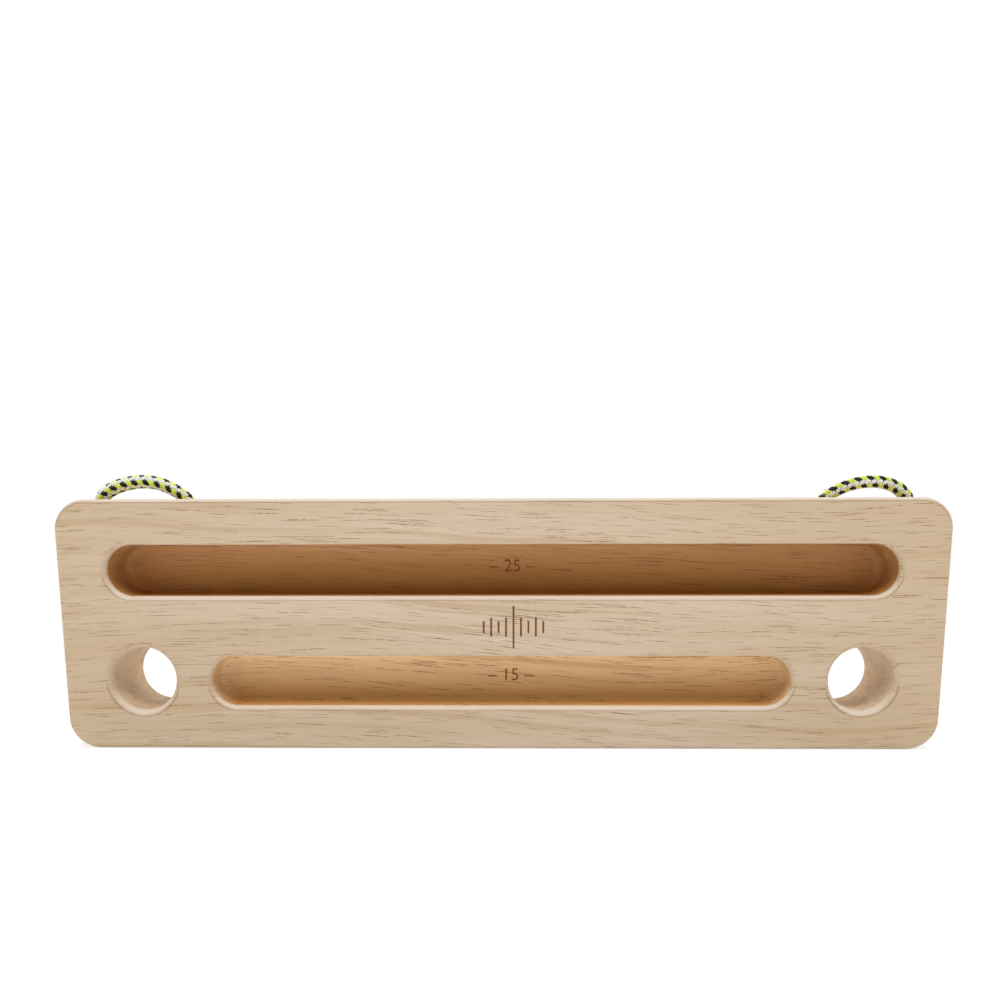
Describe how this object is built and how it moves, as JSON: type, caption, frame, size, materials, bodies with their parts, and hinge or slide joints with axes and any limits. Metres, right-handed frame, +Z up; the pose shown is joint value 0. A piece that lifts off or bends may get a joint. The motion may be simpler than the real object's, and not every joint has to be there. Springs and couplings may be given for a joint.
{
  "type": "portable hangboard",
  "caption": "Routed hardwood block with finger slots of two depths and round through holes, carried by a knotted loop of braided cord at each end.",
  "frame": {"origin": "middle of the block's flat bottom face", "axes": "+X along the block to the climber's right, -Y towards the climber (the slots' mouths), +Z up, towards the cord loops"},
  "size_m": [0.5, 0.0706, 0.1573],
  "materials": {
    "wood": "oiled",
    "cord": "woven",
    "melted_sheath": "melted"
  },
  "bodies": {
    "block": {"board": "wood"},
    "left_loop": {"left_cord": "cord", "left_outer_knot": "cord", "left_inner_knot": "cord", "left_outer_tip": "melted_sheath", "left_inner_tip": "melted_sheath"},
    "right_loop": {"right_cord": "cord", "right_outer_knot": "cord", "right_inner_knot": "cord", "right_outer_tip": "melted_sheath", "right_inner_tip": "melted_sheath"}
  },
  "joints": [
    {"name": "left_loop_slide", "type": "slide", "parent": "block", "child": "left_loop", "axis": [0, -0.5, 0.866], "range_m": [0, 0.012]},
    {"name": "right_loop_slide", "type": "slide", "parent": "block", "child": "right_loop", "axis": [0, -0.5, 0.866], "range_m": [0, 0.012]}
  ]
}
